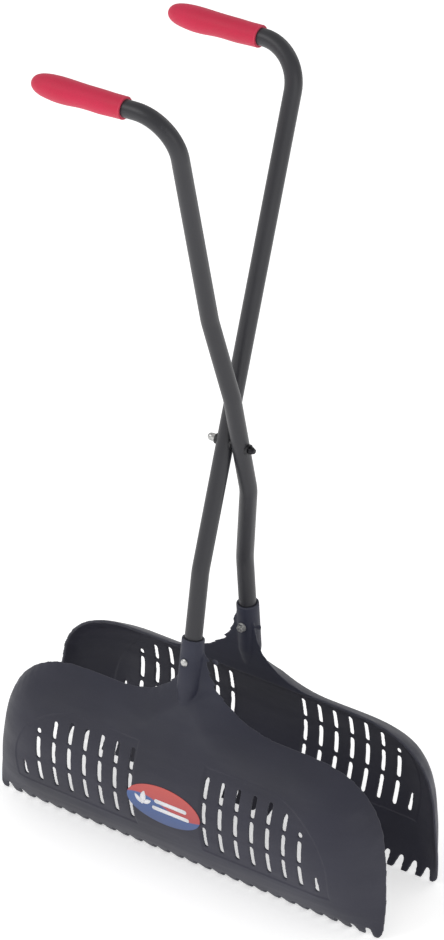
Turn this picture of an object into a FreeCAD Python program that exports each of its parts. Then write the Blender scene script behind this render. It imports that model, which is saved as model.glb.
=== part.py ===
import FreeCAD, Part
import math
import os

# Long-handled leaf grabber: two toothed jaws on crossing bent tubes that pivot like scissors.
# X runs along the jaws, Y is the closing direction (front jaw at -Y), Z is up from the tooth tips.

doc = FreeCAD.newDocument("leaf_grabber")
V = FreeCAD.Vector
X_AXIS = V(1, 0, 0)
Y_AXIS = V(0, 1, 0)
Z_AXIS = V(0, 0, 1)

# ---------------------------------------------------------------- driving dimensions (mm, degrees)
DIMENSIONS = [
    ("pivot_height", 451.6),
    ("tube_radius", 9.0),
    ("tube_wall", 1.5),
    ("lever_angle", 15.86),
    ("lower_angle", 7.27),
    ("lower_bend_drop", 129.7),
    ("lever_plane", -2.0),
    ("pivot_pitch", 18.8),
    ("rear_upper_plane", 6.4),
    ("upper_jog_start", 60.0),
    ("upper_jog_end", 151.0),
    ("lower_jog_start", 54.0),
    ("lower_jog_end", 146.0),
    ("tube_end_height", 197.0),
    ("grip_axis_rise", 384.0),
    ("grip_droop", 1.6),
    ("handle_bend_radius", 43.0),
    ("grip_inner_end", -50.0),
    ("grip_length", 109.5),
    ("tube_end_inset", 14.0),
    ("jaw_shift", 7.5),
    ("jaw_half_width", 240.0),
    ("jaw_wall", 2.8),
    ("tip_offset", 61.6),
    ("rim_lean", 0.0884),
    ("bowl_radius", 124.73),
    ("bowl_centre_height", 91.0),
    ("bowl_centre_offset", 23.68),
    ("top_edge_height", 169.0),
    ("roof_depth", 38.0),
    ("end_run", 66.0),
    ("tooth_pitch", 17.3),
    ("tooth_notches", 27),
    ("notch_mouth", 9.7),
    ("notch_height", 10.6),
    ("slot_width", 4.9),
    ("slot_pitch", 19.4),
    ("slot_first", 46.0),
    ("slot_bottom", 49.3),
    ("slot_bar_low", 76.2),
    ("slot_bar_high", 105.4),
    ("slot_bar", 4.0),
    ("socket_radius", 11.7),
    ("neck_rise", 76.0),
    ("neck_reach_wide", 104.0),
    ("neck_reach_narrow", 88.0),
    ("web_depth", 4.5),
    ("skirt_depth", 12.0),
    ("skirt_width", 13.0),
    ("boss_foot_height", 172.0),
    ("boss_foot_radius", 8.0),
    ("rim_trim", 0.3),
    ("inner_hold_height", 176.0),
    ("socket_top", 250.0),
    ("socket_screw_height", 226.0),
    ("screw_radius", 2.5),
    ("screw_head_radius", 3.9),
    ("screw_head_rise", 2.4),
    ("screw_seat", 11.3),
    ("seat_radius", 5.2),
    ("nut_corner_radius", 4.4),
    ("nut_height", 3.4),
    ("washer_radius", 4.9),
    ("washer_thickness", 0.9),
    ("pivot_bolt_radius", 3.0),
    ("pivot_head_radius", 3.9),
    ("pivot_head_length", 6.0),
    ("pivot_nut_radius", 4.7),
    ("pivot_nut_length", 4.4),
    ("pivot_dome_radius", 3.9),
    ("saddle_radius", 5.5),
    ("saddle_height", 1.6),
    ("spacer_radius", 5.4),
    ("bush_radius", 3.9),
    ("running_gap", 0.05),
    ("thin_gap", 0.1),
    ("label_half_width", 45.5),
    ("label_half_height", 22.0),
    ("label_centre_height", 81.0),
    ("label_thickness", 0.4),
]

sheet = doc.addObject("Spreadsheet::Sheet", "Dims")
for row, (alias, value) in enumerate(DIMENSIONS, start=1):
    sheet.set("A%d" % row, alias)
    sheet.set("B%d" % row, str(value))
    sheet.setAlias("B%d" % row, alias)
doc.recompute()


def dim(alias):
    return float(sheet.get(alias))


HP = dim("pivot_height")
TUBE_R = dim("tube_radius")
GAP = dim("thin_gap")
LEVER_X = dim("lever_plane")
REAR_PIVOT_X = LEVER_X + dim("pivot_pitch")
LEAN = math.tan(math.radians(dim("lever_angle")))
LOWER_LEAN = math.tan(math.radians(dim("lower_angle")))
BEND_H = HP - dim("lower_bend_drop")
BEND_Y = dim("lower_bend_drop") * LEAN


def lever_offset(height):
    """Distance of a lever's centre line from the middle plane, on the jaw side of the pivot."""
    if height > BEND_H:
        return (HP - height) * LEAN
    return BEND_Y + (BEND_H - height) * LOWER_LEAN


# ---------------------------------------------------------------- helpers
def keep(label, shape):
    """Store a finished solid as one sub-part."""
    obj = doc.addObject("Part::Feature", label)
    obj.Label = label
    obj.Shape = shape
    return obj


def rod(radius, start, end):
    """Cylinder of the given radius between two points."""
    along = end - start
    return Part.makeCylinder(radius, along.Length, start, along)


def rounded_path(points, radii):
    """Wire through the points with an arc of the matching radius at each inner corner."""
    edges = []
    cursor = points[0]
    for i in range(1, len(points) - 1):
        corner = points[i]
        back = (points[i - 1] - corner).normalize()
        ahead = (points[i + 1] - corner).normalize()
        angle = back.getAngle(ahead)
        reach = radii[i - 1] / math.tan(angle / 2)
        first = corner + back * reach
        last = corner + ahead * reach
        middle = (back + ahead).normalize()
        depth = radii[i - 1] / math.sin(angle / 2) - radii[i - 1]
        edges.append(Part.makeLine(cursor, first))
        edges.append(Part.Arc(first, corner + middle * depth, last).toShape())
        cursor = last
    edges.append(Part.makeLine(cursor, points[-1]))
    return Part.Wire(edges)


def swept_disc(wire, radius):
    start = wire.Vertexes[0].Point
    tangent = wire.Edges[0].tangentAt(wire.Edges[0].FirstParameter)
    disc = Part.Wire(Part.makeCircle(radius, start, tangent))
    return wire.makePipeShell([disc], True, False)


# ---------------------------------------------------------------- lever tubes
def lever_points(side, planes):
    """Corner points from the tube's lower end to its grip end; side is -1 for a front jaw."""
    lower_x, pivot_x, upper_x = planes
    points = []
    end_h = dim("tube_end_height")
    points.append(V(lower_x, side * lever_offset(end_h), end_h))
    if lower_x == pivot_x:
        points.append(V(lower_x, side * BEND_Y, BEND_H))
    else:
        jog_low = HP - dim("lower_jog_end")
        jog_high = HP - dim("lower_jog_start")
        points.append(V(lower_x, side * lever_offset(jog_low), jog_low))
        points.append(V(pivot_x, side * lever_offset(jog_high), jog_high))
    if upper_x != pivot_x:
        for rise, plane in ((dim("upper_jog_start"), pivot_x), (dim("upper_jog_end"), upper_x)):
            points.append(V(plane, -side * rise * LEAN, HP + rise))
    top = dim("grip_axis_rise")
    points.append(V(upper_x, -side * top * LEAN, HP + top))
    tube_end = dim("grip_inner_end") - dim("grip_length") + dim("tube_end_inset")
    points.append(V(tube_end, -side * top * LEAN, grip_axis_height(upper_x, tube_end)))
    return points


def grip_axis_height(upper_x, x):
    """Height of a handle's axis at X; it droops a little toward its outer end."""
    return HP + dim("grip_axis_rise") - (upper_x - x) * math.tan(math.radians(dim("grip_droop")))


def lever_tube(side, planes):
    points = lever_points(side, planes)
    radii = [60.0] * (len(points) - 3) + [dim("handle_bend_radius")]
    wire = rounded_path(points, radii)
    outer = swept_disc(wire, TUBE_R)
    inner = swept_disc(wire, TUBE_R - dim("tube_wall"))
    tube = outer.cut(inner)
    pivot_x = planes[1]
    cross = rod(dim("bush_radius"), V(pivot_x - 15, 0, HP), V(pivot_x + 15, 0, HP))
    tube = tube.cut(cross)
    return tube.cut(screw_bore(side, planes[0], dim("screw_radius") + GAP))


def screw_frame(side, x):
    """Centre of the socket screw and its outward direction, square to the tube."""
    height = dim("socket_screw_height")
    centre = V(x, side * lever_offset(height), height)
    lean = math.radians(dim("lower_angle"))
    outward = V(0, side * math.cos(lean), math.sin(lean))
    return centre, outward


def screw_bore(side, x, radius):
    centre, outward = screw_frame(side, x)
    return rod(radius, centre - outward * 20, centre + outward * 20)


FRONT_PLANES = (LEVER_X, LEVER_X, LEVER_X)
REAR_PLANES = (LEVER_X, REAR_PIVOT_X, dim("rear_upper_plane"))
keep("front_lever_tube", lever_tube(-1, FRONT_PLANES))
keep("rear_lever_tube", lever_tube(1, REAR_PLANES))


# ---------------------------------------------------------------- grips
GRIP_STATIONS = [
    # fraction of length from the inner end, radius, drop of the section centre
    (0.000, 11.3, 0.0),
    (0.030, 11.5, 0.0),
    (0.120, 11.6, 0.2),
    (0.240, 12.0, 0.3),
    (0.360, 11.9, 0.1),
    (0.480, 12.1, 0.1),
    (0.600, 12.8, 0.4),
    (0.720, 12.9, 0.3),
    (0.820, 12.1, 0.0),
    (0.900, 10.6, -0.2),
    (0.960, 8.0, -0.4),
    (0.988, 5.4, -0.4),
    (1.000, 3.0, -0.4),
]


def grip(side, upper_x):
    """Soft contoured sleeve with a closed, domed outer end."""
    y = -side * dim("grip_axis_rise") * LEAN
    start = dim("grip_inner_end")
    length = dim("grip_length")
    rings = []
    for fraction, radius, drop in GRIP_STATIONS:
        x = start - fraction * length
        centre = V(x, y, grip_axis_height(upper_x, x) - drop)
        rings.append(Part.Wire(Part.makeCircle(radius, centre, X_AXIS)))
    sleeve = Part.makeLoft(rings, True, False)
    mouth = start + 5.0
    tube_end = start - length + dim("tube_end_inset")
    bore_start = V(mouth, y, grip_axis_height(upper_x, mouth))
    bore_end = V(tube_end, y, grip_axis_height(upper_x, tube_end))
    return sleeve.cut(rod(TUBE_R, bore_start, bore_end))


keep("front_lever_grip", grip(-1, FRONT_PLANES[2]))
keep("rear_lever_grip", grip(1, REAR_PLANES[2]))


# ---------------------------------------------------------------- jaws
def rim_offset(height):
    """The rim of a jaw lies in one plane that leans a little toward the pivot."""
    return dim("tip_offset") - dim("rim_lean") * height


def half_width(height):
    """Half width of the rim at a height: nearly straight, then a big round shoulder."""
    top = dim("top_edge_height")
    shoulder = 92.0
    low = 22.0
    width = dim("jaw_half_width")
    if height < low:
        return width - 2.0 * ((low - height) / low) ** 2
    if height < top - shoulder:
        return width - 3.0 * ((height - low) / (top - shoulder - low)) ** 2
    t = min(1.0, (height - (top - shoulder)) / shoulder)
    return width - 3.0 - 86.0 * (1.0 - math.sqrt(max(0.0, 1.0 - t ** 3.2))) - 9.0 * t


def edge_ease(t):
    """Rises from 0 at the rim to 1 on the flat of the bowl, like part of a quarter circle."""
    rho = 1.06
    base = math.sqrt(rho * rho - 1.0)
    if t >= 1.0:
        return 1.0
    if t <= 0.0:
        floor = 0.2
        return -floor * (1.0 - math.exp(t / (floor * base * (rho - base))))
    return (math.sqrt(rho * rho - (1.0 - t) ** 2) - base) / (rho - base)


def neck_flank(side):
    """How far a flank of the neck reaches along the jaw, and how hollow its curve is."""
    if side > 0:
        return dim("neck_reach_wide"), 0.585
    return dim("neck_reach_narrow"), 0.51


def neck_top(u):
    """Height of the outline at a distance u along the jaw from the socket's axis."""
    reach, hollow = neck_flank(u)
    share = (abs(u) - dim("socket_radius")) / (reach - dim("socket_radius"))
    if share >= 1.0:
        return dim("top_edge_height")
    share = max(share, 0.0)
    return dim("top_edge_height") + dim("neck_rise") * (1.0 - share ** hollow) ** (1.0 / hollow)


def neck_edge(side, height):
    """Distance of the neck's outline from the socket's axis at a height above the top edge."""
    reach, hollow = neck_flank(side)
    share = min(1.0, (height - dim("top_edge_height")) / dim("neck_rise"))
    spread = (1.0 - share ** hollow) ** (1.0 / hollow)
    return dim("socket_radius") + (reach - dim("socket_radius")) * spread


def smooth_max(a, b, blend):
    gap = max(blend - abs(a - b), 0.0)
    return max(a, b) + gap * gap / (4.0 * blend)


def smooth_step(t):
    t = max(0.0, min(1.0, t))
    return t * t * (3.0 - 2.0 * t)


def plain_roof(height):
    """Share of the full depth left under the top edge."""
    return edge_ease((dim("top_edge_height") - height) / dim("roof_depth"))


def flared_roof(u, height):
    """Like plain_roof, but the top edge sweeps up into the neck."""
    below = neck_top(u) - height
    if height > dim("top_edge_height") and below > 0.0:
        inside = max(neck_edge(u, height) - abs(u), 0.01)
        below = below * inside / math.hypot(below, inside)
    return edge_ease(below / dim("roof_depth"))


def arc_depth(height):
    """Depth of the bowl's round section behind the rim plane."""
    across = dim("bowl_radius") ** 2 - (height - dim("bowl_centre_height")) ** 2
    return math.sqrt(max(across, 1.0)) - dim("bowl_centre_offset") - rim_offset(height)


def side_share(x, height):
    clipped = max(0.0, min(height, dim("top_edge_height") + 12.0))
    return edge_ease((half_width(clipped) - abs(x)) / dim("end_run"))


def inner_offset(x, height):
    """Distance from the middle plane of the surface that the inner face follows."""
    depth = arc_depth(min(height, dim("inner_hold_height")))
    side = side_share(x, height)
    roof = plain_roof(height)
    if depth > 0.0:
        depth = depth * min(side, 1.0) * roof if min(side, roof) > 0 else depth * min(side, roof)
    return rim_offset(height) + depth


def outer_offset(x, height, socket_x):
    """Distance of the outer face from the middle plane, with the neck's web and the socket's skirt."""
    u = x - socket_x
    round_off = math.exp(-((u / dim("skirt_width")) ** 2))
    depth = arc_depth(height)
    rising = smooth_step((height - 118.0) / 50.0) * (1.0 - smooth_step((height - 172.0) / 16.0))
    depth += 1.8 * round_off * rising
    if height > 120.0:
        web = dim("web_depth") + dim("skirt_depth") * round_off
        depth = smooth_max(depth, web, 7.0)
    side = side_share(x, height)
    roof = flared_roof(u, height)
    if depth > 0.0:
        depth = depth * min(side, 1.0) * roof if min(side, roof) > 0 else depth * min(side, roof)
    return rim_offset(height) + depth


def face_grid(offset, inset):
    """Rows of points on a jaw face, moved inward along the normal by inset."""
    xs = [6.0 * i for i in range(-42, 43)]
    heights = [-9.0, 0.0, 10.0, 22.0, 36.0, 50.0, 64.0, 78.0, 92.0, 105.0, 117.0, 127.0, 135.0]
    heights += [142.0, 148.0, 153.5, 158.5, 163.0, 167.0, 171.0, 176.0, 182.0, 188.0, 195.0]
    heights += [203.0, 212.0, 222.0, 234.0, 250.0]
    grid = []
    step = 0.5
    for height in heights:
        line = []
        for x in xs:
            y = offset(x, height)
            dx = (offset(x + step, height) - offset(x - step, height)) / (2 * step)
            dh = (offset(x, height + step) - offset(x, height - step)) / (2 * step)
            normal = V(-dx, 1.0, -dh).normalize()
            line.append(V(x - inset * normal.x, -(y - inset * normal.y), height - inset * normal.z))
        grid.append(line)
    return grid


def face_block(offset, inset):
    """Everything between a jaw face and the middle plane."""
    surface = Part.BSplineSurface()
    surface.interpolate(face_grid(offset, inset))
    return surface.toShape().extrude(V(0, 150, 0))


def rim_trimmer():
    """Wedge that trims the rim to one plane; lower down it leans away so that the teeth stay whole."""
    trim = dim("rim_trim")
    turn = 100.0
    top = 270.0
    low = -20.0
    side = [(100.0, low), (-(rim_offset(low) - 6.5), low), (-(rim_offset(turn) + trim), turn)]
    side += [(-(rim_offset(top) + trim), top), (100.0, top)]
    corners = [V(-300, y, h) for y, h in side]
    face = Part.Face(Part.makePolygon(corners + corners[:1]))
    return face.extrude(V(600, 0, 0))


def jaw_outline():
    """Closed outline that cuts the teeth and the lower ends; higher up it only clears the jaw."""
    pitch = dim("tooth_pitch")
    count = int(dim("tooth_notches"))
    mouth = dim("notch_mouth")
    rise = dim("notch_height")
    arch = 3.1
    tip_end = half_width(0.0) - 3.0
    clear_x = 250.0
    clear_top = 262.0
    ends = [V(tip_end, 0, 0)] + [V(half_width(h), 0, h) for h in (5.0, 14.0, 24.0, 36.0, 50.0, 64.0)]
    corners = [ends[-1], V(clear_x, 0, 98), V(clear_x, 0, clear_top)]
    edges = []
    curve = Part.BSplineCurve()
    curve.interpolate(ends)
    edges.append(curve.toShape())
    corners += [V(-p.x, 0, p.z) for p in reversed(corners)]
    edges += [Part.makeLine(p, q) for p, q in zip(corners, corners[1:])]
    curve = Part.BSplineCurve()
    curve.interpolate([V(-p.x, 0, p.z) for p in reversed(ends)])
    edges.append(curve.toShape())
    cursor = V(-tip_end, 0, 0)
    for i in range(count):
        middle = (i - (count - 1) / 2.0) * pitch
        a = V(middle - mouth / 2, 0, 0)
        b = V(middle - arch, 0, rise - arch * 0.8)
        c = V(middle, 0, rise)
        d = V(middle + arch, 0, rise - arch * 0.8)
        e = V(middle + mouth / 2, 0, 0)
        edges.append(Part.makeLine(cursor, a))
        edges.append(Part.makeLine(a, b))
        edges.append(Part.Arc(b, c, d).toShape())
        edges.append(Part.makeLine(d, e))
        cursor = e
    edges.append(Part.makeLine(cursor, ends[0]))
    return Part.Face(Part.Wire(edges))


def slot_cutter(x, low, high, top_half):
    """Round-ended slot; top_half is its half width at the top."""
    half = dim("slot_width") / 2
    low_c = low + half
    high_c = high - top_half
    edges = [
        Part.makeLine(V(x + half, 0, low_c), V(x + top_half, 0, high_c)),
        Part.Arc(V(x + top_half, 0, high_c), V(x, 0, high), V(x - top_half, 0, high_c)).toShape(),
        Part.makeLine(V(x - top_half, 0, high_c), V(x - half, 0, low_c)),
        Part.Arc(V(x - half, 0, low_c), V(x, 0, low), V(x + half, 0, low_c)).toShape(),
    ]
    return Part.Face(Part.Wire(edges)).extrude(V(0, -80, 0)).translated(V(0, -60, 0))


def slot_cutters():
    """Upright slots, each broken by two thin bars; the outer ones are shorter."""
    tops = [131.0, 131.0, 131.0, 131.0, 131.0, 126.0, 113.0, 71.0]
    low_bar = dim("slot_bar_low")
    high_bar = dim("slot_bar_high")
    half = dim("slot_bar") / 2
    cutters = []
    for i, top in enumerate(tops):
        x = dim("slot_first") + i * dim("slot_pitch")
        spans = [(dim("slot_bottom"), min(top, low_bar - half))]
        if top > low_bar:
            spans.append((low_bar + half, min(top, high_bar - half)))
        if top > high_bar:
            spans.append((high_bar + half, top))
        top_half = 0.9 if i == len(tops) - 1 else dim("slot_width") / 2
        for low, high in spans:
            cutters.append(slot_cutter(x, low, high, top_half))
            cutters.append(slot_cutter(-x, low, high, top_half))
    return cutters


def socket_axis_point(x, height):
    return V(x, -lever_offset(height), height)


def socket_boss(x):
    """Round socket with a tapered foot that sinks into the neck."""
    radius = dim("socket_radius")
    top = socket_axis_point(x, dim("socket_top"))
    shoulder = socket_axis_point(x, dim("tube_end_height") - 1.0)
    foot = socket_axis_point(x, dim("boss_foot_height"))
    along = shoulder - foot
    taper = Part.makeCone(dim("boss_foot_radius"), radius, along.Length, foot, along)
    return rod(radius, shoulder, top).fuse(taper)


def screw_seats(x):
    """Small flats on the socket for the screw head and for the washer under the nut."""
    centre, outward = screw_frame(-1, x)
    seat = dim("screw_seat")
    outer = rod(dim("seat_radius"), centre + outward * seat, centre + outward * 30)
    inner = rod(dim("seat_radius"), centre - outward * seat, centre - outward * 30)
    return outer.fuse(inner)


def largest(shape):
    """The main solid; trimming leaves loose slivers outside the rim."""
    return max(shape.Solids, key=lambda solid: solid.Volume)


def make_jaw(socket_x):
    """Front jaw about its own centre plane; socket_x places the socket along the jaw."""
    def outer_face(x, height):
        return outer_offset(x, height, socket_x)

    outline = jaw_outline().extrude(V(0, -160, 0)).translated(V(0, -20, 0))
    wall = face_block(outer_face, 0.0).cut(face_block(inner_offset, dim("jaw_wall")))
    wall = largest(wall.common(outline).cut(rim_trimmer()))
    wall = wall.cut(Part.makeCompound(slot_cutters()))
    jaw = wall.fuse(socket_boss(socket_x))
    jaw = jaw.cut(screw_seats(socket_x))
    bore = rod(TUBE_R, socket_axis_point(socket_x, dim("tube_end_height")), socket_axis_point(socket_x, 262.0))
    jaw = jaw.cut(bore)
    jaw = jaw.cut(screw_bore(-1, socket_x, dim("screw_radius") + GAP))
    return jaw


SHIFT = dim("jaw_shift")
front_jaw = make_jaw(LEVER_X - SHIFT).translated(V(SHIFT, 0, 0))
rear_jaw = make_jaw(-LEVER_X - SHIFT).translated(V(SHIFT, 0, 0))
rear_jaw.rotate(V(0, 0, 0), Z_AXIS, 180)
keep("front_jaw", front_jaw)
keep("rear_jaw", rear_jaw)


def label_patch():
    """Thin oval sticker that follows the front jaw's outer face."""
    gap = 0.05
    thick = dim("label_thickness")
    oval = Part.Ellipse(V(0, 0, 0), dim("label_half_width"), dim("label_half_height")).toShape()
    face = Part.Face(Part.Wire(oval))
    face.rotate(V(0, 0, 0), X_AXIS, 90)
    face.translate(V(0, -70, dim("label_centre_height")))
    prism = face.extrude(V(0, -60, 0))
    sheet_block = face_block(inner_offset, -gap - thick).common(prism)
    return largest(sheet_block.cut(face_block(inner_offset, -gap)))


keep("jaw_label", label_patch().translated(V(SHIFT - 2.5, 0, 0)))

NODES = [obj for obj in doc.Objects if obj.TypeId == "Part::Feature"]


# ---------------------------------------------------------------- fasteners, built from primitives
def place(base, rotation):
    return FreeCAD.Placement(base, rotation)


def primitive(kind, name, sizes, placement):
    obj = doc.addObject(kind, name)
    for prop, expression in sizes.items():
        obj.setExpression(prop, expression)
    obj.Placement = placement
    return obj


def join(label, shapes):
    obj = doc.addObject("Part::MultiFuse", label)
    obj.Shapes = shapes
    obj.Label = label
    return obj


def remove(label, base, tool):
    obj = doc.addObject("Part::Cut", label)
    obj.Base = base
    obj.Tool = tool
    obj.Label = label
    return obj


ALONG_X = FreeCAD.Rotation(Y_AXIS, 90)
AGAINST_X = FreeCAD.Rotation(Y_AXIS, -90)


def tube_stub(name, side, x):
    """Straight stand-in for a lever tube near the pivot, used to cut saddles."""
    lean = FreeCAD.Rotation(X_AXIS, side * dim("lever_angle"))
    length = 60.0
    start = V(x, 0, HP) - lean.multVec(V(0, 0, length / 2))
    stub = primitive("Part::Cylinder", name, {"Radius": "Dims.tube_radius"}, place(start, lean))
    stub.Height = length
    return stub


def bored_disc(name, outer, start, length, bore):
    """Disc about the pivot axis, from X=start, with a hole; returns disc and hole."""
    disc = primitive("Part::Cylinder", name + "_disc", {"Radius": outer, "Height": length}, place(start, ALONG_X))
    hole = primitive("Part::Cylinder", name + "_hole", {"Radius": bore}, place(start - X_AXIS * 5, ALONG_X))
    hole.Height = 40.0
    return disc, hole


def pivot_sleeve(label, x):
    """Plain bush that fills a tube's cross hole."""
    start = V(x - TUBE_R, 0, HP)
    bore = "Dims.pivot_bolt_radius + Dims.running_gap"
    disc, hole = bored_disc(label, "Dims.bush_radius", start, "2 * Dims.tube_radius", bore)
    return remove(label, disc, hole)


front_bush = pivot_sleeve("front_pivot_sleeve", LEVER_X)
rear_bush = pivot_sleeve("rear_pivot_sleeve", REAR_PIVOT_X)


def washer_with_bolt_hole(label, side, x, outward):
    depth = 5.0
    rise = dim("saddle_height")
    base_x = x + outward * (TUBE_R - depth) if outward > 0 else x - TUBE_R - rise
    base = V(base_x, 0, HP)
    size = {"Radius": "Dims.saddle_radius", "Height": "Dims.saddle_height + 5"}
    disc = primitive("Part::Cylinder", label + "_disc", size, place(base, ALONG_X))
    bore = {"Radius": "Dims.pivot_bolt_radius + Dims.running_gap", "Height": "Dims.saddle_height + 25"}
    hole = primitive("Part::Cylinder", label + "_hole", bore, place(base - X_AXIS * 10, ALONG_X))
    sleeve = {"Radius": "Dims.bush_radius + Dims.running_gap", "Height": "2 * Dims.tube_radius"}
    clear = primitive("Part::Cylinder", label + "_clear", sleeve, place(V(x - TUBE_R, 0, HP), ALONG_X))
    tools = join(label + "_tools", [hole, clear, tube_stub(label + "_stub", side, x)])
    return remove(label, disc, tools)


head_washer = washer_with_bolt_hole("rear_saddle_washer", 1, REAR_PIVOT_X, 1)
nut_washer = washer_with_bolt_hole("front_saddle_washer", -1, LEVER_X, -1)


def middle_spacer(label):
    """Thin spacer between the two tubes, hollowed on the front tube's side."""
    start = V(LEVER_X + TUBE_R - 2.0, 0, HP)
    length = "Dims.pivot_pitch - 2 * Dims.tube_radius + 2 - Dims.thin_gap"
    disc = primitive("Part::Cylinder", label + "_disc", {"Radius": "Dims.spacer_radius", "Height": length},
                     place(start, ALONG_X))
    bore = {"Radius": "Dims.pivot_bolt_radius + Dims.running_gap", "Height": "20"}
    hole = primitive("Part::Cylinder", label + "_hole", bore, place(start - X_AXIS * 10, ALONG_X))
    sleeve = {"Radius": "Dims.bush_radius + Dims.running_gap", "Height": "2 * Dims.tube_radius"}
    clear = primitive("Part::Cylinder", label + "_clear", sleeve, place(V(LEVER_X - TUBE_R, 0, HP), ALONG_X))
    tools = join(label + "_tools", [hole, clear, tube_stub(label + "_stub", -1, LEVER_X)])
    return remove(label, disc, tools)


spacer = middle_spacer("pivot_spacer")


def pivot_bolt(label):
    """Bolt with a low domed head on the rear lever's side and its shank through both tubes."""
    seat_x = REAR_PIVOT_X + TUBE_R + dim("saddle_height") + GAP
    seat = V(seat_x, 0, HP)
    head_size = {"Radius": "Dims.pivot_head_radius", "Height": "Dims.pivot_head_length * 0.45"}
    rim = primitive("Part::Cylinder", label + "_rim", head_size, place(seat, ALONG_X))
    crown_size = {
        "Radius1": "Dims.pivot_head_radius",
        "Radius2": "Dims.pivot_head_radius * 0.6",
        "Height": "Dims.pivot_head_length * 0.55",
    }
    crown_at = V(seat_x + dim("pivot_head_length") * 0.45, 0, HP)
    crown = primitive("Part::Cone", label + "_crown", crown_size, place(crown_at, ALONG_X))
    shank = primitive("Part::Cylinder", label + "_shank", {"Radius": "Dims.pivot_bolt_radius"},
                      place(seat, AGAINST_X))
    shank.Height = seat_x - (LEVER_X - TUBE_R - dim("saddle_height")) + dim("pivot_nut_length") + 1.5
    return join(label, [rim, crown, shank])


bolt = pivot_bolt("pivot_bolt")


def cap_nut(label):
    """Hexagonal cap nut with a domed end."""
    seat = V(LEVER_X - TUBE_R - dim("saddle_height"), 0, HP)
    hexagon = primitive("Part::Prism", label + "_hexagon",
                        {"Circumradius": "Dims.pivot_nut_radius", "Height": "Dims.pivot_nut_length"},
                        place(seat, AGAINST_X))
    hexagon.Polygon = 6
    reach = dim("pivot_nut_length")
    barrel = primitive("Part::Cylinder", label + "_barrel",
                       {"Radius": "Dims.pivot_dome_radius", "Height": "Dims.pivot_nut_length + 2"},
                       place(seat, AGAINST_X))
    dome = primitive("Part::Sphere", label + "_dome", {"Radius": "Dims.pivot_dome_radius"},
                     place(seat - X_AXIS * (reach + 2), AGAINST_X))
    body = join(label + "_body", [hexagon, barrel, dome])
    bore = primitive("Part::Cylinder", label + "_bore", {"Radius": "Dims.pivot_bolt_radius"},
                     place(seat + X_AXIS, AGAINST_X))
    bore.Height = reach + 2.5 + 0.5
    return remove(label, body, bore)


nut = cap_nut("pivot_cap_nut")


def toward(direction):
    return FreeCAD.Rotation(Z_AXIS, direction)


def socket_screw(label, side):
    """Pan-head screw across a socket, head on the jaw's outer side."""
    centre, outward = screw_frame(side, LEVER_X)
    seat = centre + outward * dim("screw_seat")
    head_size = {"Radius": "Dims.screw_head_radius", "Height": "Dims.screw_head_rise * 0.5"}
    rim = primitive("Part::Cylinder", label + "_rim", head_size, place(seat, toward(outward)))
    crown_size = {
        "Radius1": "Dims.screw_head_radius",
        "Radius2": "Dims.screw_head_radius * 0.62",
        "Height": "Dims.screw_head_rise * 0.5",
    }
    crown_at = seat + outward * (dim("screw_head_rise") * 0.5)
    crown = primitive("Part::Cone", label + "_crown", crown_size, place(crown_at, toward(outward)))
    shank_size = {
        "Radius": "Dims.screw_radius",
        "Height": "2 * Dims.screw_seat + Dims.washer_thickness + Dims.nut_height + 1.2",
    }
    shank = primitive("Part::Cylinder", label + "_shank", shank_size, place(seat, toward(outward * -1)))
    return join(label, [rim, crown, shank])


def socket_washer(label, side):
    centre, outward = screw_frame(side, LEVER_X)
    seat = centre - outward * dim("screw_seat")
    turn = toward(outward * -1)
    disc = primitive("Part::Cylinder", label + "_disc",
                     {"Radius": "Dims.washer_radius", "Height": "Dims.washer_thickness"}, place(seat, turn))
    hole = primitive("Part::Cylinder", label + "_hole",
                     {"Radius": "Dims.screw_radius + Dims.thin_gap", "Height": "10"},
                     place(seat + outward * 5, turn))
    return remove(label, disc, hole)


def socket_nut(label, side):
    centre, outward = screw_frame(side, LEVER_X)
    seat = centre - outward * (dim("screw_seat") + dim("washer_thickness"))
    turn = toward(outward * -1)
    hexagon = primitive("Part::Prism", label + "_hexagon",
                        {"Circumradius": "Dims.nut_corner_radius", "Height": "Dims.nut_height"},
                        place(seat, turn))
    hexagon.Polygon = 6
    hole = primitive("Part::Cylinder", label + "_hole", {"Radius": "Dims.screw_radius", "Height": "12"},
                     place(seat + outward * 5, turn))
    return remove(label, hexagon, hole)


NODES += [front_bush, rear_bush, head_washer, nut_washer, spacer, bolt, nut]
for side, lever in ((-1, "front"), (1, "rear")):
    NODES.append(socket_screw(lever + "_socket_screw", side))
    NODES.append(socket_washer(lever + "_socket_washer", side))
    NODES.append(socket_nut(lever + "_socket_nut", side))

doc.recompute()
for obj in doc.Objects:
    if "Invalid" in obj.State or "Error" in obj.State:
        raise RuntimeError("%s did not build" % obj.Label)
os.makedirs("parts", exist_ok=True)
for obj in NODES:
    if obj.Shape.isNull() or not obj.Shape.isValid():
        raise RuntimeError("%s has a bad shape" % obj.Label)
    print(obj.Label, len(obj.Shape.Solids), round(obj.Shape.Volume))
    obj.Shape.exportStep("parts/%s.step" % obj.Label)
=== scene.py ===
import math

import bmesh
import bpy
import numpy as np
from mathutils import Matrix, Vector
from mathutils.bvhtree import BVHTree


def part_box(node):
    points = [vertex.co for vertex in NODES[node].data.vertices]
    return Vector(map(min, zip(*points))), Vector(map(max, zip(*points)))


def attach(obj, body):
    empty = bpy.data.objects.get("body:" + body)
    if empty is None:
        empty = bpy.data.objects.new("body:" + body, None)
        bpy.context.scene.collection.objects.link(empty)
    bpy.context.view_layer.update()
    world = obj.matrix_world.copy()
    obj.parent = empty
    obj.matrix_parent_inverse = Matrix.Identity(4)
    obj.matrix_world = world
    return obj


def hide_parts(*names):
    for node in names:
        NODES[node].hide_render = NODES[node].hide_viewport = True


# The looks of the leaf grabber: moulded jaws, painted tubes, rubber grips, a printed sticker and
# small steel parts.

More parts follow.
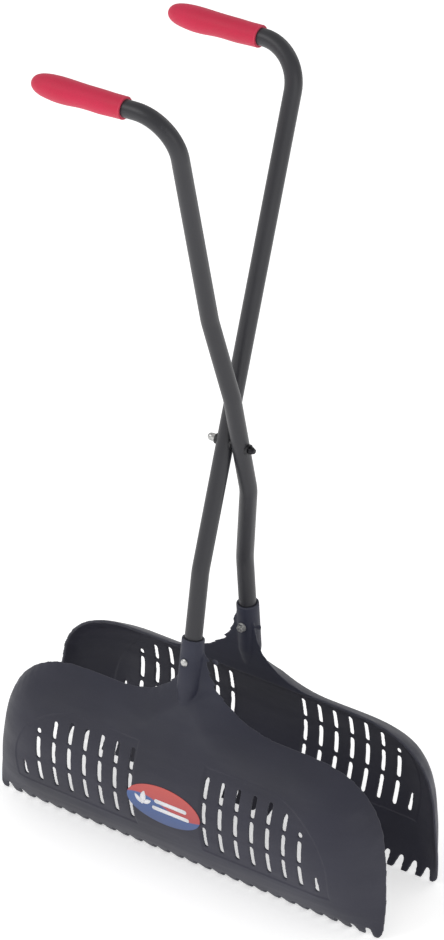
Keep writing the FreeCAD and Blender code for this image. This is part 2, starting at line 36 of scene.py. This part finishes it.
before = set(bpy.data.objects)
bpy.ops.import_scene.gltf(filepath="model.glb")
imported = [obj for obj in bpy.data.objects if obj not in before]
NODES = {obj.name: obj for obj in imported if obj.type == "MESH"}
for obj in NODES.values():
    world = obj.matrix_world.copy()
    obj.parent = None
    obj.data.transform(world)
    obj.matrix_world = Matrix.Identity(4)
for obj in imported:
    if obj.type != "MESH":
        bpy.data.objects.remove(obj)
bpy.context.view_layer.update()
MM = 0.001


# ---------------------------------------------------------------- shader helpers
class Shader:
    """One material with a Principled shader, and short calls that add nodes to it."""

    def __init__(self, name, **constants):
        self.material = bpy.data.materials.new(name)
        self.material.use_nodes = True
        self.tree = self.material.node_tree
        self.surface = self.tree.nodes["Principled BSDF"]
        for socket, value in constants.items():
            self.surface.inputs[socket.replace("_", " ")].default_value = value
        self.place = self.add("ShaderNodeTexCoord").outputs["Object"]

    def add(self, kind, inputs=None, **settings):
        node = self.tree.nodes.new(kind)
        for key, value in settings.items():
            setattr(node, key, value)
        for key, value in (inputs or {}).items():
            self.feed(value, node.inputs[key])
        return node

    def feed(self, value, socket):
        if isinstance(value, bpy.types.NodeSocket):
            self.tree.links.new(value, socket)
        else:
            socket.default_value = value

    def math(self, operation, a, b=0.0, clamp=False):
        node = self.add("ShaderNodeMath", {0: a, 1: b}, operation=operation, use_clamp=clamp)
        return node.outputs[0]

    def stretched(self, scale):
        """The object's coordinates, stretched by a different factor along each axis."""
        node = self.add("ShaderNodeMapping", {"Vector": self.place, "Scale": scale})
        return node.outputs[0]

    def noise(self, scale, detail=3.0, roughness=0.5, vector=None):
        inputs = {"Vector": vector or self.place, "Scale": scale, "Detail": detail, "Roughness": roughness}
        return self.add("ShaderNodeTexNoise", inputs).outputs["Fac"]

    def ramp(self, value, low, high, start=0.0, end=1.0):
        """Value mapped from start..end to low..high, held at both ends."""
        inputs = {"Value": value, "From Min": start, "From Max": end, "To Min": low, "To Max": high}
        return self.add("ShaderNodeMapRange", inputs, clamp=True).outputs["Result"]

    def blend(self, factor, first, second):
        node = self.add("ShaderNodeMix", data_type="RGBA")
        self.feed(factor, node.inputs["Factor"])
        for key, colour in ((6, first), (7, second)):
            self.feed(colour, node.inputs[key])
        return node.outputs[2]

    def between(self, value, low, high, first, second):
        """The first colour where the value is below low, the second above high, a mix between them."""
        return self.blend(self.ramp(value, 0.0, 1.0, low, high), first, second)

    def part(self, axis):
        node = self.add("ShaderNodeSeparateXYZ", {0: self.place})
        return node.outputs[axis]

    def edges(self, low, high):
        """1 on worn outer edges, 0 on the flats."""
        pointed = self.add("ShaderNodeNewGeometry").outputs["Pointiness"]
        return self.ramp(pointed, 0.0, 1.0, low, high)

    def bumps(self, layers):
        """Stacks (height, strength, distance) layers and feeds the shader's normal."""
        normal = None
        for height, strength, distance in layers:
            inputs = {"Height": height, "Strength": strength, "Distance": distance}
            if normal is not None:
                inputs["Normal"] = normal
            normal = self.add("ShaderNodeBump", inputs).outputs[0]
        self.feed(normal, self.surface.inputs["Normal"])

    def colour(self, value):
        self.feed(value, self.surface.inputs["Base Color"])

    def roughness(self, value):
        self.feed(value, self.surface.inputs["Roughness"])


def rgb(red, green, blue):
    """Linear colour from 0..255 screen values."""
    def linear(value):
        share = value / 255.0
        return share / 12.92 if share <= 0.04045 else ((share + 0.055) / 1.055) ** 2.4
    return (linear(red), linear(green), linear(blue), 1.0)


# ---------------------------------------------------------------- materials
WHITE = (1.0, 1.0, 1.0, 1.0)
JAW_DARK, JAW_LIGHT, JAW_BLUE = rgb(38, 38, 50), rgb(44, 44, 58), rgb(36, 42, 64)
JAW_FLECK, JAW_RUBBED = rgb(58, 59, 68), rgb(96, 97, 104)
# Heights in metres between which the plastic turns bluer.
BLUE_START, BLUE_END = 0.13, 0.24
TUBE_DARK, TUBE_LIGHT = rgb(32, 32, 37), rgb(39, 39, 44)
TUBE_FLECK, TUBE_RUBBED = rgb(58, 58, 68), rgb(84, 84, 94)
GRIP_DARK, GRIP_LIGHT = rgb(200, 22, 64), rgb(210, 31, 74)
# The first colour is painted shade for the pits of the pebbled skin; the second is paler wear on rubbed
# edges.
GRIP_PIT_SHADE, GRIP_RUBBED = rgb(150, 24, 50), rgb(232, 110, 130)
NYLON_DARK, NYLON_LIGHT = rgb(22, 22, 25), rgb(36, 36, 40)
# Dark tone, light tone and roughness.
BRIGHT_STEEL = (rgb(150, 150, 150), rgb(214, 214, 212), 0.26)
BLACK_STEEL = (rgb(34, 34, 36), rgb(62, 62, 66), 0.34)
LABEL_RED_LOW, LABEL_RED_HIGH = rgb(176, 44, 46), rgb(196, 66, 54)
LABEL_BLUE_LOW, LABEL_BLUE_HIGH = rgb(26, 60, 118), rgb(40, 84, 148)
LABEL_FADED = rgb(150, 150, 160)
WAVE_LENGTH, WAVE_SWING, WAVE_RISE, WAVE_EDGE = 2.6, 0.30, 0.02, 0.03
INK_CLEAN, INK_WORN = rgb(236, 236, 238), rgb(212, 214, 222)
FLOOR_DARK, FLOOR_LIGHT = (0.94, 0.94, 0.94, 1.0), (0.97, 0.97, 0.97, 1.0)
FLOOR_GLOW = 0.45


def jaw_plastic():
    """Dark blue-grey moulded plastic with a fine spark-eroded grain, flow marks and rubbed edges."""
    shader = Shader("jaw_plastic", IOR=1.46)
    drift = shader.noise(9.0, 4.0)
    flow = shader.noise(1.0, 5.0, 0.6, shader.stretched((8.0, 8.0, 55.0)))
    speck = shader.noise(1400.0, 2.0)
    height = shader.part(2)
    near_socket = shader.ramp(height, 0.0, 1.0, BLUE_START, BLUE_END)
    plain = shader.between(drift, 0.35, 0.65, JAW_DARK, JAW_LIGHT)
    blue = shader.blend(shader.math("MULTIPLY", near_socket, 0.4), plain, JAW_BLUE)
    flecked = shader.blend(shader.ramp(speck, 0.0, 0.5, 0.55, 0.8), blue, JAW_FLECK)
    worn = shader.blend(shader.math("MULTIPLY", shader.edges(0.52, 0.58), 0.35), flecked, JAW_RUBBED)
    shader.colour(worn)
    streaked = shader.ramp(flow, 0.44, 0.6, 0.3, 0.7)
    shader.roughness(shader.math("ADD", streaked, shader.ramp(speck, 0.0, 0.08)))
    grain = shader.noise(2600.0, 2.0, 0.6)
    shader.bumps([(flow, 0.08, 0.0004), (grain, 0.25, 0.00012)])
    return shader.material


def tube_paint():
    """Charcoal powder coat with orange peel and a few rubbed spots."""
    shader = Shader("tube_paint", IOR=1.5, Coat_Weight=0.12, Coat_Roughness=0.3)
    drift = shader.noise(14.0, 3.0)
    peel = shader.noise(420.0, 2.0, 0.45)
    fine = shader.noise(2300.0, 2.0, 0.5)
    streaks = shader.noise(60.0, 6.0, 0.75, shader.stretched((1.0, 1.0, 0.22)))
    scuff = shader.ramp(streaks, 0.0, 1.0, 0.66, 0.74)
    plain = shader.between(drift, 0.3, 0.7, TUBE_DARK, TUBE_LIGHT)
    speckled = shader.blend(shader.ramp(fine, 0.0, 0.4, 0.5, 0.8), plain, TUBE_FLECK)
    shader.colour(shader.blend(shader.math("MULTIPLY", scuff, 0.3), speckled, TUBE_RUBBED))
    shader.roughness(shader.math("ADD", shader.ramp(drift, 0.4, 0.5), shader.math("MULTIPLY", scuff, 0.14)))
    shader.bumps([(peel, 0.22, 0.0003), (fine, 0.12, 0.0001)])
    return shader.material


def grip_rubber():
    """Crimson soft rubber with a pebbled skin, darkened in its pits by painted shade, and paler on rubbed
    edges.
    """
    shader = Shader("grip_rubber", IOR=1.45, Sheen_Weight=0.12, Sheen_Roughness=0.5)
    drift = shader.noise(26.0, 4.0)
    pebbles = shader.add("ShaderNodeTexVoronoi", {"Vector": shader.place, "Scale": 900.0}).outputs["Distance"]
    fine = shader.noise(2800.0, 2.0)
    plain = shader.between(drift, 0.3, 0.7, GRIP_DARK, GRIP_LIGHT)
    # Painted shade: the colour turns darker in the pits of the pebbled skin.
    deep = shader.blend(shader.ramp(pebbles, 0.3, 0.0, 0.0, 0.5), plain, GRIP_PIT_SHADE)
    shader.colour(shader.blend(shader.math("MULTIPLY", shader.edges(0.53, 0.6), 0.4), deep, GRIP_RUBBED))
    shader.roughness(shader.ramp(drift, 0.52, 0.68, 0.3, 0.7))
    shader.bumps([(pebbles, 0.22, 0.0002), (fine, 0.12, 0.0001)])
    return shader.material


def plated_steel(name, dark, light, rough):
    """Turned and plated steel: fine rings of brushing and dull spots."""
    shader = Shader(name, Metallic=1.0)
    brush = shader.noise(1.0, 3.0, 0.6, shader.stretched((2600.0, 500.0, 500.0)))
    spots = shader.noise(700.0, 5.0, 0.7)
    tone = shader.between(spots, 0.35, 0.7, dark, light)
    shader.colour(shader.blend(shader.ramp(brush, 0.0, 0.3, 0.4, 0.7), tone, light))
    shader.roughness(shader.ramp(spots, rough, rough + 0.2, 0.3, 0.75))
    shader.bumps([(brush, 0.15, 0.00005), (spots, 0.1, 0.00008)])
    return shader.material


def black_plastic():
    """Black nylon of the small bushes and washers."""
    shader = Shader("black_plastic", IOR=1.5)
    cloud = shader.noise(180.0, 4.0)
    fine = shader.noise(2400.0, 2.0)
    shader.colour(shader.between(cloud, 0.3, 0.7, NYLON_DARK, NYLON_LIGHT))
    shader.roughness(shader.ramp(cloud, 0.4, 0.6, 0.3, 0.7))
    shader.bumps([(fine, 0.2, 0.0001)])
    return shader.material


def label_print(centre, half_width, half_height):
    """Printed vinyl: warm red above a wavy line and blue below it, with fine print grain and faded specks."""
    shader = Shader("label_print", IOR=1.48, Coat_Weight=0.35, Coat_Roughness=0.18)
    across = shader.math("MULTIPLY", shader.math("SUBTRACT", shader.part(0), centre.x), 1.0 / half_width)
    up = shader.math("MULTIPLY", shader.math("SUBTRACT", shader.part(2), centre.z), 1.0 / half_height)
    wave = shader.math("SINE", shader.math("MULTIPLY", across, WAVE_LENGTH))
    swing = shader.math("MULTIPLY", wave, WAVE_SWING)
    above = shader.math("ADD", shader.math("SUBTRACT", up, WAVE_RISE), swing)
    red = shader.between(up, -0.2, 1.0, LABEL_RED_LOW, LABEL_RED_HIGH)
    blue = shader.between(up, -1.0, 0.3, LABEL_BLUE_LOW, LABEL_BLUE_HIGH)
    print_colour = shader.between(above, -WAVE_EDGE, WAVE_EDGE, blue, red)
    grain = shader.noise(1500.0, 2.0)
    faded = shader.blend(shader.ramp(grain, 0.0, 0.16), print_colour, LABEL_FADED)
    shader.colour(faded)
    shader.roughness(shader.ramp(shader.noise(60.0, 4.0), 0.3, 0.42, 0.3, 0.7))
    shader.bumps([(grain, 0.06, 0.00008)])
    return shader.material


def label_ink():
    """White ink of the sticker's plain marks."""
    shader = Shader("label_ink", IOR=1.48, Coat_Weight=0.3, Coat_Roughness=0.2)
    grain = shader.noise(1300.0, 3.0)
    shader.colour(shader.between(grain, 0.35, 0.75, INK_CLEAN, INK_WORN))
    shader.roughness(shader.ramp(grain, 0.32, 0.45, 0.3, 0.7))
    shader.bumps([(grain, 0.08, 0.00006)])
    return shader.material


def floor_paint():
    """Matt white studio floor with a barely visible mottle."""
    shader = Shader("floor_paint", Roughness=0.9)
    cloud = shader.noise(1.2, 4.0)
    shader.colour(shader.blend(cloud, FLOOR_DARK, FLOOR_LIGHT))
    shader.surface.inputs["Emission Color"].default_value = WHITE
    shader.surface.inputs["Emission Strength"].default_value = FLOOR_GLOW
    return shader.material


label_low, label_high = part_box("jaw_label")
label_centre = (label_low + label_high) / 2
label_half = (label_high - label_low) / 2
MATERIALS = {
    "jaw_plastic": jaw_plastic(),
    "tube_paint": tube_paint(),
    "grip": grip_rubber(),
    "steel": plated_steel("bright_steel", *BRIGHT_STEEL),
    "black_steel": plated_steel("black_steel", *BLACK_STEEL),
    "black_plastic": black_plastic(),
    "label": label_print(label_centre, label_half.x, label_half.z),
    "ink": label_ink(),
}
NODE_FINISH = {
    "jaw_label": "label",
    "front_jaw": "jaw_plastic",
    "rear_jaw": "jaw_plastic",
    "front_lever_tube": "tube_paint",
    "rear_lever_tube": "tube_paint",
    "front_lever_grip": "grip",
    "rear_lever_grip": "grip",
    "pivot_bolt": "black_steel",
    "rear_saddle_washer": "black_plastic",
    "front_saddle_washer": "black_plastic",
    "pivot_spacer": "black_plastic",
    "front_pivot_sleeve": "black_plastic",
    "rear_pivot_sleeve": "black_plastic",
}


def dress(obj, finish):
    obj.data.materials.clear()
    obj.data.materials.append(MATERIALS[finish])


for node_name, node in NODES.items():
    dress(node, NODE_FINISH.get(node_name, "steel"))


def add_piece(name, mesh, body, finish):
    """A new visible piece that rides on a CAD body."""
    obj = bpy.data.objects.new(name, mesh)
    bpy.context.scene.collection.objects.link(obj)
    dress(obj, finish)
    for face in mesh.polygons:
        face.use_smooth = True
    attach(obj, body)
    return obj


# ---------------------------------------------------------------- jaws
VOXEL = 1.0 * MM
SOFTEN_FACTOR, SOFTEN_PASSES = 0.5, 4
PANEL_DEPTH = 0.9 * MM
PANEL_STEP = 2.2 * MM
PANEL_INNER, PANEL_OUTER = 41.5 * MM, 194.0 * MM
PANEL_LOW, PANEL_HIGH = 43.0 * MM, 140.0 * MM
PANEL_TURN_X, PANEL_TURN_H = 112.0 * MM, 66.0 * MM


def remeshed(node):
    """A copy of a node's mesh rebuilt in small even faces, with every edge and inner corner rounded."""
    copy = bpy.data.objects.new(node.name + "_work", node.data.copy())
    bpy.context.scene.collection.objects.link(copy)
    remesh = copy.modifiers.new("voxels", "REMESH")
    remesh.mode = "VOXEL"
    remesh.voxel_size = VOXEL
    remesh.use_smooth_shade = True
    smooth = copy.modifiers.new("soften", "SMOOTH")
    smooth.factor = SOFTEN_FACTOR
    smooth.iterations = SOFTEN_PASSES
    graph = bpy.context.evaluated_depsgraph_get()
    mesh = bpy.data.meshes.new_from_object(copy.evaluated_get(graph))
    bpy.data.objects.remove(copy)
    return mesh


def inside_panel(across, height):
    """1 inside the D-shaped panel around a group of slots, 0 outside, with a soft step between."""
    turn_x = (across - PANEL_TURN_X) / (PANEL_OUTER - PANEL_TURN_X)
    turn_h = (height - PANEL_TURN_H) / (PANEL_HIGH - PANEL_TURN_H)
    round_corner = 1.0 - np.hypot(np.maximum(turn_x, 0.0), np.maximum(turn_h, 0.0))
    depth = np.minimum(across - PANEL_INNER, height - PANEL_LOW)
    depth = np.minimum(depth, round_corner * (PANEL_HIGH - PANEL_TURN_H))
    share = np.clip(depth / PANEL_STEP + 0.5, 0.0, 1.0)
    return share * share * (3.0 - 2.0 * share)


def moulded_jaw(node_name, body, outward):
    """The jaw's moulding with rounded edges and a shallow panel around each group of slots."""
    low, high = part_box(node_name)
    centre = (low.x + high.x) / 2
    mesh = remeshed(NODES[node_name])
    points = np.empty(len(mesh.vertices) * 3, np.float32)
    mesh.vertices.foreach_get("co", points)
    points = points.reshape(-1, 3)
    panel = inside_panel(np.abs(points[:, 0] - centre), points[:, 2])
    points[:, 1] -= outward * PANEL_DEPTH * panel
    mesh.vertices.foreach_set("co", points.reshape(-1))
    jaw = add_piece(node_name + "_moulding", mesh, body, "jaw_plastic")
    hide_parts(node_name)
    return jaw


moulded_jaw("front_jaw", "front_lever", -1.0)
moulded_jaw("rear_jaw", "rear_lever", 1.0)


# ---------------------------------------------------------------- sticker marks
INK_TOP, INK_ROOT = 0.10 * MM, -0.05 * MM
RAY_START = 50.0 * MM
LEAF_STEPS, LEAF_FULLNESS = 20, 0.8
BAR_END_STEPS = 8
# Name, centre from the sticker's centre, length and width in mm, and tilt in degrees.
LEAVES = (
    ("label_leaf_middle", (-25.5, 2.5), 17.0, 7.0, 80.0),
    ("label_leaf_left", (-31.5, -0.5), 12.0, 5.0, 132.0),
    ("label_leaf_right", (-20.5, -1.0), 12.0, 5.0, 30.0),
)
# Name, centre from the sticker's centre, length and height in mm.
BARS = (
    ("label_bar_upper", (9.0, 4.2), 40.0, 4.6),
    ("label_bar_lower", (9.0, -4.6), 46.0, 4.6),
)
label_tree = BVHTree.FromObject(NODES["jaw_label"], bpy.context.evaluated_depsgraph_get())


def on_label(x, z, lift):
    """The point on the sticker's face in front of (x, z), raised a little toward the outside."""
    hit = label_tree.ray_cast(Vector((x, label_low.y - RAY_START, z)), Vector((0.0, 1.0, 0.0)))[0]
    return Vector((x, hit.y - lift, z))


def printed_shape(name, outline):
    """A thin layer of ink with the given outline, (across, up) from the sticker's centre in mm."""
    mesh = bpy.data.meshes.new(name)
    work = bmesh.new()
    front = []
    back = []
    for across, up in outline:
        x = label_centre.x + across * MM
        z = label_centre.z + up * MM
        front.append(work.verts.new(on_label(x, z, INK_TOP)))
        back.append(work.verts.new(on_label(x, z, INK_ROOT)))
    middle_x = sum(p.co.x for p in front) / len(front)
    middle_z = sum(p.co.z for p in front) / len(front)
    hub_front = work.verts.new(on_label(middle_x, middle_z, INK_TOP))
    hub_back = work.verts.new(on_label(middle_x, middle_z, INK_ROOT))
    for i in range(len(front)):
        j = (i + 1) % len(front)
        work.faces.new((front[i], front[j], hub_front))
        work.faces.new((back[j], back[i], hub_back))
        work.faces.new((front[j], front[i], back[i], back[j]))
    bmesh.ops.recalc_face_normals(work, faces=work.faces)
    work.to_mesh(mesh)
    work.free()
    return add_piece(name, mesh, "front_lever", "ink")


def leaf_outline(centre, length, width, tilt):
    """A pointed leaf: two bulging sides between a tip and a stalk."""
    points = []
    for side in (1.0, -1.0):
        for i in range(LEAF_STEPS):
            share = i / LEAF_STEPS
            along = (share - 0.5) * length * side
            bulge = math.sin(math.pi * share) ** LEAF_FULLNESS * width / 2 * side
            points.append((centre[0] + along * math.cos(tilt) - bulge * math.sin(tilt),
                           centre[1] + along * math.sin(tilt) + bulge * math.cos(tilt)))
    return points


def bar_outline(centre, length, height):
    """A level bar with round ends."""
    points = []
    radius = height / 2
    for end, start_angle in ((1.0, -90.0), (-1.0, 90.0)):
        for i in range(BAR_END_STEPS + 1):
            angle = math.radians(start_angle + 180.0 * i / BAR_END_STEPS)
            across = end * (length / 2 - radius) + radius * math.cos(angle)
            points.append((centre[0] + across, centre[1] + radius * math.sin(angle)))
    return points


for mark, centre, length, width, tilt in LEAVES:
    printed_shape(mark, leaf_outline(centre, length, width, math.radians(tilt)))
for mark, centre, length, height in BARS:
    printed_shape(mark, bar_outline(centre, length, height))


# ---------------------------------------------------------------- grip lips
MOUTH_SLICE = 0.2 * MM
LIP_INSET, LIP_SETBACK, LIP_WIDE, LIP_DEEP = 0.7 * MM, 0.9 * MM, 1.0 * MM, 1.2 * MM


def ring_mesh(name, profile, centre, axis, segments=48):
    """A closed ring: the (radius, distance along the axis) profile swept round the axis."""
    mesh = bpy.data.meshes.new(name)
    work = bmesh.new()
    turn = axis.to_track_quat("Z", "Y").to_matrix()
    loops = []
    for i in range(segments):
        angle = 2 * math.pi * i / segments
        loop = []
        for radius, along in profile:
            local = Vector((radius * math.cos(angle), radius * math.sin(angle), along))
            loop.append(work.verts.new(centre + turn @ local))
        loops.append(loop)
    for i in range(segments):
        here = loops[i]
        there = loops[(i + 1) % segments]
        for j in range(len(profile)):
            k = (j + 1) % len(profile)
            work.faces.new((here[j], there[j], there[k], here[k]))
    bmesh.ops.recalc_face_normals(work, faces=work.faces)
    work.to_mesh(mesh)
    work.free()
    return mesh


def round_profile(radius, along, wide, deep, steps=12):
    """An oval bead profile centred on (radius, along)."""
    points = []
    for i in range(steps):
        angle = 2 * math.pi * i / steps
        points.append((radius + wide * math.cos(angle), along + deep * math.sin(angle)))
    return points


def grip_lip(name, node_name, body):
    """The rolled lip at the grip's open end."""
    low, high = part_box(node_name)
    centre = Vector((high.x, (low.y + high.y) / 2, 0.0))
    ring = [v.co for v in NODES[node_name].data.vertices if v.co.x > high.x - MOUTH_SLICE]
    centre.z = (max(p.z for p in ring) + min(p.z for p in ring)) / 2
    radius = (max(p.z for p in ring) - min(p.z for p in ring)) / 2
    profile = round_profile(radius - LIP_INSET, -LIP_SETBACK, LIP_WIDE, LIP_DEEP)
    return add_piece(name, ring_mesh(name, profile, centre, Vector((1, 0, 0))), body, "grip")


grip_lip("front_grip_lip", "front_lever_grip", "front_lever")
grip_lip("rear_grip_lip", "rear_lever_grip", "rear_lever")


# ---------------------------------------------------------------- studio
FLOOR_REACH, FLOOR_DROP = 40.0, 0.2 * MM
LIGHT_ASPECT = 0.8
# Name, place, the height it aims at over the middle of the floor, size in metres and power in watts.
LIGHTS = (
    ("key", (-2.2, -3.0, 3.4), 0.3, 2.6, 46.0),
    ("fill", (3.4, -1.6, 1.8), 0.3, 2.2, 16.0),
    ("back", (0.5, 3.2, 2.6), 0.5, 2.0, 10.0),
)
WORLD_STRENGTH = 0.62
CAMERA_PLACE = (2.6630, -3.7574, 2.8648)
CAMERA_RIGHT = Vector((0.80798, 0.58876, 0.02303))
CAMERA_UP = Vector((-0.29262, 0.36705, 0.88298))
CAMERA_LENS, CAMERA_SENSOR, CAMERA_REACH = 202.47, 36.0, 200.0


def studio_floor():
    mesh = bpy.data.meshes.new("studio_floor")
    work = bmesh.new()
    bmesh.ops.create_grid(work, x_segments=8, y_segments=8, size=FLOOR_REACH)
    work.to_mesh(mesh)
    work.free()
    floor = bpy.data.objects.new("studio_floor", mesh)
    bpy.context.scene.collection.objects.link(floor)
    floor.location.z = -FLOOR_DROP
    mesh.materials.append(floor_paint())


def soft_light(name, place, aim_height, size, power):
    lamp = bpy.data.lights.new(name, "AREA")
    lamp.shape = "RECTANGLE"
    lamp.size = size
    lamp.size_y = size * LIGHT_ASPECT
    lamp.energy = power
    obj = bpy.data.objects.new(name, lamp)
    bpy.context.scene.collection.objects.link(obj)
    obj.location = place
    aim = Vector((0.0, 0.0, aim_height)) - Vector(place)
    obj.rotation_euler = aim.to_track_quat("-Z", "Y").to_euler()


def studio_camera():
    """The camera stands to the front right, looks down by 28 degrees and leans by a degree or so."""
    lens = bpy.data.cameras.new("camera")
    lens.lens = CAMERA_LENS
    lens.sensor_width = CAMERA_SENSOR
    lens.clip_end = CAMERA_REACH
    camera = bpy.data.objects.new("camera", lens)
    turn = Matrix((CAMERA_RIGHT, CAMERA_UP, CAMERA_RIGHT.cross(CAMERA_UP))).transposed()
    camera.matrix_world = Matrix.Translation(CAMERA_PLACE) @ turn.to_4x4()
    bpy.context.scene.collection.objects.link(camera)
    bpy.context.scene.camera = camera


def studio_world():
    world = bpy.data.worlds.new("studio")
    world.use_nodes = True
    background = world.node_tree.nodes["Background"]
    background.inputs["Color"].default_value = WHITE
    background.inputs["Strength"].default_value = WORLD_STRENGTH
    bpy.context.scene.world = world


studio_floor()
for light in LIGHTS:
    soft_light(*light)
studio_world()
studio_camera()
bpy.context.scene.view_settings.view_transform = "Standard"
